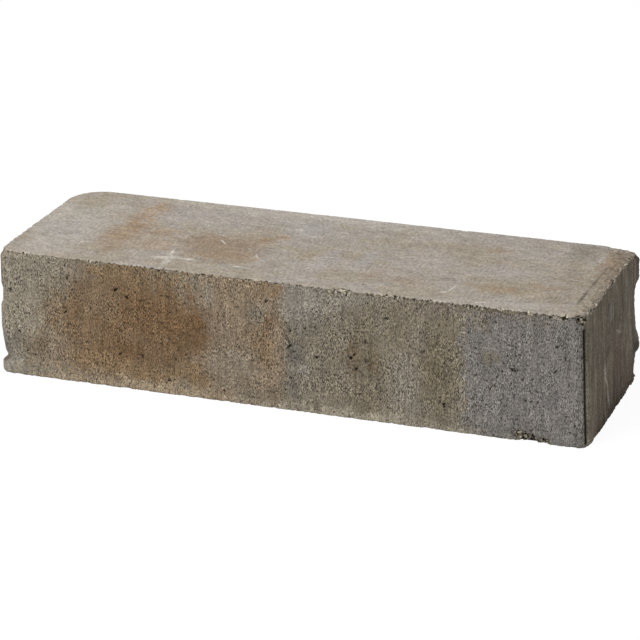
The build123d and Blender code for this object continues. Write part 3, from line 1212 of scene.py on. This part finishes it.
class NodeSheet:
    """The nodes of one material or surround, added and linked by short calls."""

    def __init__(self, owner: Union[bpy.types.Material, bpy.types.World]) -> None:
        """Starts with no nodes.

        Args:
            owner: The material or surround.
        """
        owner.use_nodes = True
        self.owner = owner
        self.tree = owner.node_tree
        self.tree.nodes.clear()

    def add(self, kind: str, feeds: dict[Union[int, str], Feed], **settings: object) -> bpy.types.Node:
        """Adds a node.

        Args:
            kind: Its type.
            feeds: A socket or a value for each input, by name or number.
            **settings: The node's own properties.

        Returns:
            The node.
        """
        node = self.tree.nodes.new(kind)
        for name, value in settings.items():
            setattr(node, name, value)
        for key, feed in feeds.items():
            if isinstance(feed, Socket):
                self.tree.links.new(feed, node.inputs[key])
            elif isinstance(feed, tuple) and len(node.inputs[key].default_value) == 4:
                node.inputs[key].default_value = (*feed, 1.0)
            else:
                node.inputs[key].default_value = feed
        return node

    def maths(self, operation: str, *terms: Feed) -> Socket:
        """One sum, product or other operation on numbers."""
        return self.add("ShaderNodeMath", dict(enumerate(terms)), operation=operation).outputs[0]

    def vector(self, operation: str, *terms: Feed) -> Socket:
        """One operation on vectors."""
        return self.add("ShaderNodeVectorMath", dict(enumerate(terms)), operation=operation).outputs[0]

    def dot(self, one: Feed, other: Feed) -> Socket:
        """The dot product of two vectors."""
        feeds = {0: one, 1: other}
        return self.add("ShaderNodeVectorMath", feeds, operation="DOT_PRODUCT").outputs["Value"]

    def length(self, vector: Feed) -> Socket:
        """The length of a vector."""
        return self.add("ShaderNodeVectorMath", {0: vector}, operation="LENGTH").outputs["Value"]

    def scaled(self, colour: Feed, factor: Feed) -> Socket:
        """A colour or vector times a number."""
        feeds = {0: colour, "Scale": factor}
        return self.add("ShaderNodeVectorMath", feeds, operation="SCALE").outputs[0]

    def blend(self, factor: Feed, low: Feed, high: Feed) -> Socket:
        """Mixes two colours."""
        return self.add("ShaderNodeMix", {0: factor, 6: low, 7: high}, data_type="RGBA").outputs[2]

    def blend_values(self, factor: Feed, low: Feed, high: Feed) -> Socket:
        """Mixes two numbers."""
        return self.add("ShaderNodeMix", {0: factor, 2: low, 3: high}, data_type="FLOAT").outputs[0]

    def fade(self, value: Feed, start: Feed, end: Feed, strength: float = 1.0) -> Socket:
        """Goes smoothly from 0 at start to the strength at end.

        Args:
            value: What is read.
            start: Where the fade starts.
            end: Where it ends.
            strength: What it reaches there.

        Returns:
            The faded value.
        """
        feeds = {"Value": value, "From Min": start, "From Max": end, "To Max": strength}
        node = self.add("ShaderNodeMapRange", feeds, interpolation_type="SMOOTHSTEP")
        return node.outputs[0]

    def mask(self, mask: Mask) -> Socket:
        """Reads one of the skin's masks."""
        node = self.add("ShaderNodeAttribute", {}, attribute_name=mask.value)
        return node.outputs["Fac"]

    def spread(self, grain: Place, shift: float = 0.0) -> Socket:
        """The piece's own coordinates, counted in grains.

        Args:
            grain: Size of a grain along X, Y and Z.
            shift: Moves the pattern, so that two calls differ.

        Returns:
            The coordinates.
        """
        own = self.add("ShaderNodeTexCoord", {}).outputs["Object"]
        scale = tuple(1 / (size * MM) for size in grain)
        feeds = {"Vector": own, "Location": (shift,) * 3, "Scale": scale}
        return self.add("ShaderNodeMapping", feeds).outputs[0]

    def noise(self, pattern: Pattern, output: int = 0) -> Socket:
        """Noise about a half.

        Args:
            pattern: Its pattern.
            output: 0 for a number, 1 for a colour.

        Returns:
            The noise.
        """
        grain, detail, rough, shift, bend = pattern.value
        feeds = {"Vector": self.spread(grain, shift), "Scale": 1.0, "Detail": detail, "Roughness": rough}
        return self.add("ShaderNodeTexNoise", {**feeds, "Distortion": bend}).outputs[output]

    def times(self, one: Feed, other: Feed) -> Socket:
        """The product of two numbers."""
        return self.maths("MULTIPLY", one, other)

    def paint(self, colour: Feed, tone: Tone, cover: Feed) -> Socket:
        """Lays a tone over a colour."""
        return self.blend(cover, colour, tone.value)

    def about(self, value: Feed, gain: Feed, level: Feed) -> Socket:
        """Turns noise about a half into noise about a level."""
        return self.maths("MULTIPLY_ADD", self.maths("SUBTRACT", value, 0.5), gain, level)

    def swing(self, value: Feed, gain: float) -> Socket:
        """Turns noise about a half into a factor about 1."""
        return self.maths("MULTIPLY_ADD", value, gain, 1 - gain / 2)


@dataclass(frozen=True)
class Ground:
    """What stains are laid on.

    Args:
        sheet: The material's nodes.
        place: Plain coordinates, for crisp marks.
        cloudy: Wandering coordinates, for ragged ones.
        mottle: Noise about 0 that breaks up the ragged ones.
    """

    sheet: NodeSheet
    place: Socket
    cloudy: Socket
    mottle: Socket


@dataclass(frozen=True)
class Concrete:
    """Pressed concrete: a sandy, stained side, a trowelled top, and the grains where it is broken."""

    side_level: float = 1.375  # makes up for the painted shade of the pinholes
    end_level: float = 1.57
    top_level: float = 1.10
    side_speckle: float = 7.0
    sand_speckle: float = 0.42
    top_speckle: float = 1.8
    drag_gain: float = 0.85
    end_gain: float = 2.1
    cloud_gain: float = 0.85
    top_streak_gain: float = 0.38
    top_cloud_gain: float = 0.85
    sheen_gain: float = 0.16
    # how far painted shade covers the pores
    pore_shade: float = 0.7
    cloud_drift: float = 14.0  # how far the stains' borders wander
    mottle: float = 2.4  # how far it breaks up the stains
    mottle_reach: float = 14.0  # a wider stain is broken up less
    end_share: float = 0.6  # of the sides' speckle, on the ends
    worn_share: float = 1.5  # of the top's speckle, where it is worn
    smooth_foot: float = 20.0  # the sides are smoother up to here
    roughness: float = 0.88
    specular: float = 0.12
    relief: float = 3.2  # millimetres

    def dress(self, piece: bpy.types.Object) -> None:
        """Puts the concrete on a piece.

        Args:
            piece: The piece, with its masks.
        """
        sheet = NodeSheet(bpy.data.materials.new("pressed_concrete"))
        place = sheet.scaled(sheet.add("ShaderNodeTexCoord", {}).outputs["Object"], 1 / MM)
        wandering = sheet.noise(Pattern.WANDER, 1)
        parts = sheet.add("ShaderNodeSeparateColor", {0: wandering}).outputs
        shift = sheet.add("ShaderNodeCombineXYZ", {0: parts[0], 1: parts[1], 2: parts[2]}).outputs[0]
        cloudy = sheet.vector("SUBTRACT", place, (self.cloud_drift / 2,) * 3)
        cloudy = sheet.vector("MULTIPLY_ADD", shift, (self.cloud_drift,) * 3, cloudy)
        mottle = sheet.noise(Pattern.MOTTLE)
        mottle = sheet.maths("MULTIPLY_ADD", mottle, self.mottle, -self.mottle / 2)
        ground = Ground(sheet, place, cloudy, mottle)
        side, side_height = self._side(ground)
        top, top_height = self._top(ground)
        edge = sheet.noise(Pattern.TOP_BORDER)
        bed = sheet.maths("ADD", sheet.mask(Mask.BED), sheet.maths("MULTIPLY_ADD", edge, 0.8, -0.4))
        bed = sheet.fade(bed, 0.42, 0.58)
        colour = self._breaks(sheet, sheet.blend(bed, side, top))
        height = sheet.blend_values(bed, side_height, top_height)
        sheen = sheet.swing(sheet.noise(Pattern.SHEEN), self.sheen_gain)
        feeds = {"Strength": 1.0, "Distance": self.relief * MM, "Height": height}
        feeds = {
            "Base Color": colour,
            "Roughness": sheet.times(sheen, self.roughness),
            "Normal": sheet.add("ShaderNodeBump", feeds).outputs[0],
            "Specular IOR Level": self.specular,
        }
        shader = sheet.add("ShaderNodeBsdfPrincipled", feeds).outputs[0]
        sheet.add("ShaderNodeOutputMaterial", {"Surface": shader})
        piece.data.materials.append(sheet.owner)

    def _stains(self, ground: Ground, stains: tuple[Stain, ...], colour: Feed) -> Socket:
        """Lays stains, painted shade and painted light over a colour, one after the other.

        Args:
            ground: Where the stains are laid.
            stains: The stains, the lowest first.
            colour: The colour below.

        Returns:
            The colour with its stains.
        """
        sheet = ground.sheet
        for stain in stains:
            middle = BLOCK.place(stain.face, stain.at)
            offset = sheet.vector("SUBTRACT", ground.cloudy if stain.ragged else ground.place, middle)
            if stain.turn:
                shares = {n: sheet.dot(offset, tuple(axis)) for n, axis in enumerate(stain.axes())}
                local = sheet.add("ShaderNodeCombineXYZ", shares).outputs[0]
            else:
                scale = tuple(sum(abs(axis[n]) for axis in stain.axes()) for n in range(3))
                local = sheet.vector("MULTIPLY", offset, scale)
            away = sheet.length(local)
            if stain.ragged:
                share = min(1.0, self.mottle_reach / min(stain.reach))
                away = sheet.maths("MULTIPLY_ADD", ground.mottle, share, away)
            colour = sheet.paint(colour, stain.tone, sheet.fade(away, 1.0, 1.0 - stain.fade, stain.strength))
        return colour

    def _side(self, ground: Ground) -> tuple[Socket, Socket]:
        """The sides, ends and underside: mottled, stained, sandy, with upright drag marks.

        Args:
            ground: Where the stains are laid.

        Returns:
            The colour and the height of the fine relief.
        """
        sheet = ground.sheet
        patches = sheet.noise(Pattern.PATCHES)
        columns = sheet.noise(Pattern.COLUMNS)
        face = sheet.blend(sheet.fade(patches, 0.42, 0.60, 0.35), Tone.STONE.value, Tone.SAND.value)
        face = sheet.paint(face, Tone.OLIVE, sheet.fade(columns, 0.50, 0.66, 0.8))
        face = sheet.paint(face, Tone.GREY, sheet.fade(columns, 0.46, 0.34, 0.7))
        face = self._stains(ground, SIDE_STAINS_AND_PAINTED_LIGHT, face)
        end = sheet.blend(sheet.fade(patches, 0.35, 0.65, 0.5), Tone.TAUPE.value, Tone.TAUPE_OLIVE.value)
        end = self._stains(ground, END_STAINS, end)
        on_end = sheet.mask(Mask.END)
        colour = sheet.blend(on_end, face, end)
        speckle = sheet.noise(Pattern.SPECKLE)
        sand = sheet.noise(Pattern.SAND)
        drag = sheet.noise(Pattern.DRAG)
        streaks = sheet.noise(Pattern.END_STREAKS)
        cloud = sheet.noise(Pattern.CLOUD)
        gain = sheet.blend_values(on_end, self.side_speckle, self.end_share * self.side_speckle)
        rough = sheet.noise(Pattern.ROUGH_PLACES)
        rough = sheet.maths("ADD", sheet.fade(rough, 0.36, 0.64, 0.9), 0.50)
        above_foot = sheet.fade(sheet.dot(ground.place, (0.0, 0.0, 1.0)), 0.0, self.smooth_foot, 0.45)
        rough = sheet.times(rough, sheet.maths("ADD", above_foot, 0.60))
        level = sheet.blend_values(on_end, self.side_level, self.end_level)
        # the sand's speckle: partly its own colour, partly painted shade, darker where the same noise sinks
        # the relief
        grain = sheet.about(speckle, sheet.times(gain, rough), level)
        # painted shade in the pinholes, where the speckle's relief is lowest
        pinhole_shade = sheet.fade(speckle, 0.43, 0.34, 0.45)
        grain = sheet.times(grain, sheet.maths("SUBTRACT", 1.0, pinhole_shade))
        factor = sheet.times(grain, sheet.swing(sand, self.sand_speckle))
        factor = sheet.times(factor, sheet.swing(drag, self.drag_gain))
        factor = sheet.times(factor, sheet.about(streaks, sheet.times(on_end, self.end_gain), 1.0))
        factor = sheet.times(factor, sheet.swing(cloud, self.cloud_gain))
        pores = sheet.fade(sheet.noise(Pattern.PORES), 0.38, 0.32)
        # painted shade in the pores, which the relief also sinks
        colour = sheet.paint(sheet.scaled(colour, factor), Tone.HOLE, sheet.times(pores, self.pore_shade))
        grains = sheet.noise(Pattern.LIGHT_GRAINS)
        colour = sheet.paint(colour, Tone.CREAM, sheet.fade(grains, 0.68, 0.80, 0.6))
        height = sheet.maths("MULTIPLY_ADD", drag, 0.2, sheet.times(sand, 0.8))
        height = sheet.maths("MULTIPLY_ADD", speckle, 0.50, height)
        return colour, sheet.maths("SUBTRACT", height, sheet.times(pores, 0.5))

    def _top(self, ground: Ground) -> tuple[Socket, Socket]:
        """The trowelled top: pale and mottled, faintly streaked lengthwise, with soft stains and scrapes.

        Args:
            ground: Where the stains are laid.

        Returns:
            The colour and the height of the fine relief.
        """
        sheet = ground.sheet
        patches = sheet.noise(Pattern.TOP_PATCHES)
        colour = sheet.blend(sheet.fade(patches, 0.42, 0.58), Tone.BED_LILAC.value, Tone.BED_TAN.value)
        colour = self._stains(ground, TOP_STAINS_AND_PAINTED_SHADE, sheet.paint(colour, Tone.BED, 0.45))
        worn = sheet.mask(Mask.WORN)
        colour = sheet.paint(colour, Tone.BED_WORN, sheet.times(worn, 0.4))
        speckle = sheet.noise(Pattern.TOP_SPECKLE)
        streaks = sheet.noise(Pattern.TOP_STREAKS)
        broad = sheet.noise(Pattern.TOP_CLOUD)
        gain = sheet.blend_values(worn, self.top_speckle, self.worn_share * self.top_speckle)
        factor = sheet.about(speckle, gain, self.top_level)
        factor = sheet.times(factor, sheet.swing(streaks, self.top_streak_gain))
        factor = sheet.times(factor, sheet.swing(broad, self.top_cloud_gain))
        pores = sheet.noise(Pattern.TOP_PORES)
        pores = sheet.fade(pores, sheet.blend_values(worn, 0.31, 0.41), 0.26)
        # painted shade in the top's pores, wider where it is worn
        colour = sheet.paint(sheet.scaled(colour, factor), Tone.HOLE, sheet.times(pores, self.pore_shade))
        relief = sheet.blend_values(worn, 0.23, 0.55)
        return colour, sheet.maths("MULTIPLY_ADD", speckle, relief, sheet.times(streaks, 0.12))

    def _breaks(self, sheet: NodeSheet, colour: Feed) -> Socket:
        """Paints shade into the pits, nicks, breaks and the seam, and shows the grains where the concrete is
        broken.

        Args:
            sheet: The material's nodes.
            colour: The colour of the whole skin.

        Returns:
            The colour with its pits and breaks.
        """
        cells = sheet.add("ShaderNodeTexVoronoi", {"Vector": sheet.spread((1.7,) * 3), "Scale": 1.0})
        kinds = sheet.add("ShaderNodeSeparateColor", {0: cells.outputs["Color"]}).outputs
        grains = sheet.blend(sheet.fade(kinds[0], 0.30, 0.50), Tone.MOSS.value, Tone.PALE_GREY.value)
        # painted shade: some cells are holes, and the gaps between grains are dark
        grains = sheet.paint(grains, Tone.HOLE, sheet.fade(kinds[1], 0.22, 0.16))
        grains = sheet.paint(grains, Tone.CREAM, sheet.fade(kinds[1], 0.48, 0.52))
        grains = sheet.paint(grains, Tone.HOLE, sheet.fade(cells.outputs["Distance"], 0.46, 0.74, 0.80))
        colour = sheet.blend(sheet.mask(Mask.BROKEN), colour, grains)
        # painted shade in the pits, nicks, breaks, crumbled arris and seam
        colour = sheet.paint(colour, Tone.HOLE, sheet.fade(sheet.mask(Mask.HOLLOW), 0.12, 0.95, 0.92))
        return sheet.paint(colour, Tone.CREAM, sheet.fade(sheet.mask(Mask.GRAIN), 0.2, 0.8, 0.9))


@dataclass(frozen=True)
class View:
    """The camera's stand and lens, fitted to the block's outline in the photograph."""

    stand: Place = (674.4, -1834.7, 796.7)
    turn: float = 20.139  # degrees to the left of the front
    tip: float = 21.110  # degrees down
    roll: float = 0.559
    focal_pixels: float = 2829.6
    picture_pixels: int = 640
    sensor: float = 36.0

    def set_up(self) -> bpy.types.Object:
        """Makes the scene's camera."""
        data = bpy.data.cameras.new("view")
        data.sensor_width = self.sensor
        data.lens = self.focal_pixels / self.picture_pixels * self.sensor
        data.clip_start, data.clip_end = 0.1, 20.0
        camera = bpy.data.objects.new("view", data)
        turn = Matrix.Rotation(math.radians(self.turn), 4, "Z")
        tip = Matrix.Rotation(math.radians(90 - self.tip), 4, "X")
        roll = Matrix.Rotation(math.radians(-self.roll), 4, "Z")
        camera.matrix_world = Matrix.Translation(Vector(self.stand) * MM) @ turn @ tip @ roll
        bpy.context.scene.collection.objects.link(camera)
        bpy.context.scene.camera = camera
        return camera


@dataclass(frozen=True)
class Lamp:
    """One soft rectangular lamp.

    Args:
        name: Its name.
        stand: Its place in metres.
        size: Its side in metres.
        power: Its power in watts.
    """

    name: str
    stand: Place
    size: float
    power: float

    def hang(self) -> bpy.types.Object:
        """Hangs the lamp so that it faces the block."""
        data = bpy.data.lights.new(self.name, "AREA")
        data.shape = "SQUARE"
        data.size = self.size
        data.energy = self.power
        lamp = bpy.data.objects.new(self.name, data)
        lamp.location = self.stand
        aim = Vector((0, 0, BLOCK.height / 2 * MM)) - Vector(self.stand)
        lamp.rotation_euler = aim.to_track_quat("-Z", "Y").to_euler()
        bpy.context.scene.collection.objects.link(lamp)
        return lamp


@dataclass(frozen=True)
class Studio:
    """A pale floor, soft lamps and an even surround, white where they are seen."""

    floor_size: float = 12.0  # metres
    floor_tone: float = 0.80
    floor_glow: float = 0.95
    floor_shade: float = 0.08  # what the floor gives back of the light, which its shadow lacks
    surround: float = 0.22
    lamps: tuple[Lamp, ...] = (Lamp("key", (-0.885, -1.475, 2.39), 1.5, 77.0),)

    def set_up(self) -> None:
        """Lays the floor, hangs the lamps and sets the surround."""
        bpy.context.scene.view_settings.view_transform = "Standard"
        self._floor()
        self._surround()
        for lamp in self.lamps:
            lamp.hang()
            log.info("lamp %s: %.0f W", lamp.name, lamp.power)

    def _seen(self, sheet: NodeSheet) -> Socket:
        """1 for what the camera sees directly, in a reflection or through glass, else 0.

        Args:
            sheet: The nodes that ask.

        Returns:
            The answer.
        """
        rays = sheet.add("ShaderNodeLightPath", {}).outputs
        mirrored = sheet.maths("MAXIMUM", rays["Is Glossy Ray"], rays["Is Transmission Ray"])
        return sheet.maths("MAXIMUM", rays["Is Camera Ray"], mirrored)

    def _floor(self) -> None:
        """A pale floor that reads white and keeps the block's shadow."""
        sheet = NodeSheet(bpy.data.materials.new("studio_floor"))
        tone = self.floor_tone
        bounce = sheet.add("ShaderNodeBsdfDiffuse", {"Color": (tone,) * 3})
        shadow = sheet.add("ShaderNodeBsdfDiffuse", {"Color": (self.floor_shade,) * 3})
        glow = sheet.add("ShaderNodeEmission", {"Color": (1.0,) * 3, "Strength": self.floor_glow})
        white = sheet.add("ShaderNodeAddShader", {0: shadow.outputs[0], 1: glow.outputs[0]})
        feeds = {0: self._seen(sheet), 1: bounce.outputs[0], 2: white.outputs[0]}
        sheet.add("ShaderNodeOutputMaterial", {0: sheet.add("ShaderNodeMixShader", feeds).outputs[0]})
        shape = bmesh.new()
        bmesh.ops.create_grid(shape, x_segments=1, y_segments=1, size=self.floor_size / 2)
        mesh = bpy.data.meshes.new("floor")
        shape.to_mesh(mesh)
        shape.free()
        mesh.materials.append(sheet.owner)
        floor = bpy.data.objects.new("floor", mesh)
        bpy.context.scene.collection.objects.link(floor)

    def _surround(self) -> None:
        """An even surround, white where it is seen."""
        sheet = NodeSheet(bpy.data.worlds.new("surround"))
        strength = sheet.blend_values(self._seen(sheet), self.surround, 1.0)
        light = sheet.add("ShaderNodeBackground", {"Color": (1.0,) * 3, "Strength": strength})
        sheet.add("ShaderNodeOutputWorld", {0: light.outputs[0]})
        bpy.context.scene.world = sheet.owner


def main() -> None:
    """Builds the block, dresses it and sets up the studio."""
    logging.basicConfig(level=logging.INFO, format="%(name)s: %(message)s")
    View().set_up()
    Studio().set_up()
    piece = WallBlock().build()
    Concrete().dress(piece)
    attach(piece, "root")
    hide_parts(NODE)
    log.info("%s: %d points, %d triangles", piece.name, len(piece.data.vertices), len(piece.data.polygons))


if __name__ == "__main__":
    main()
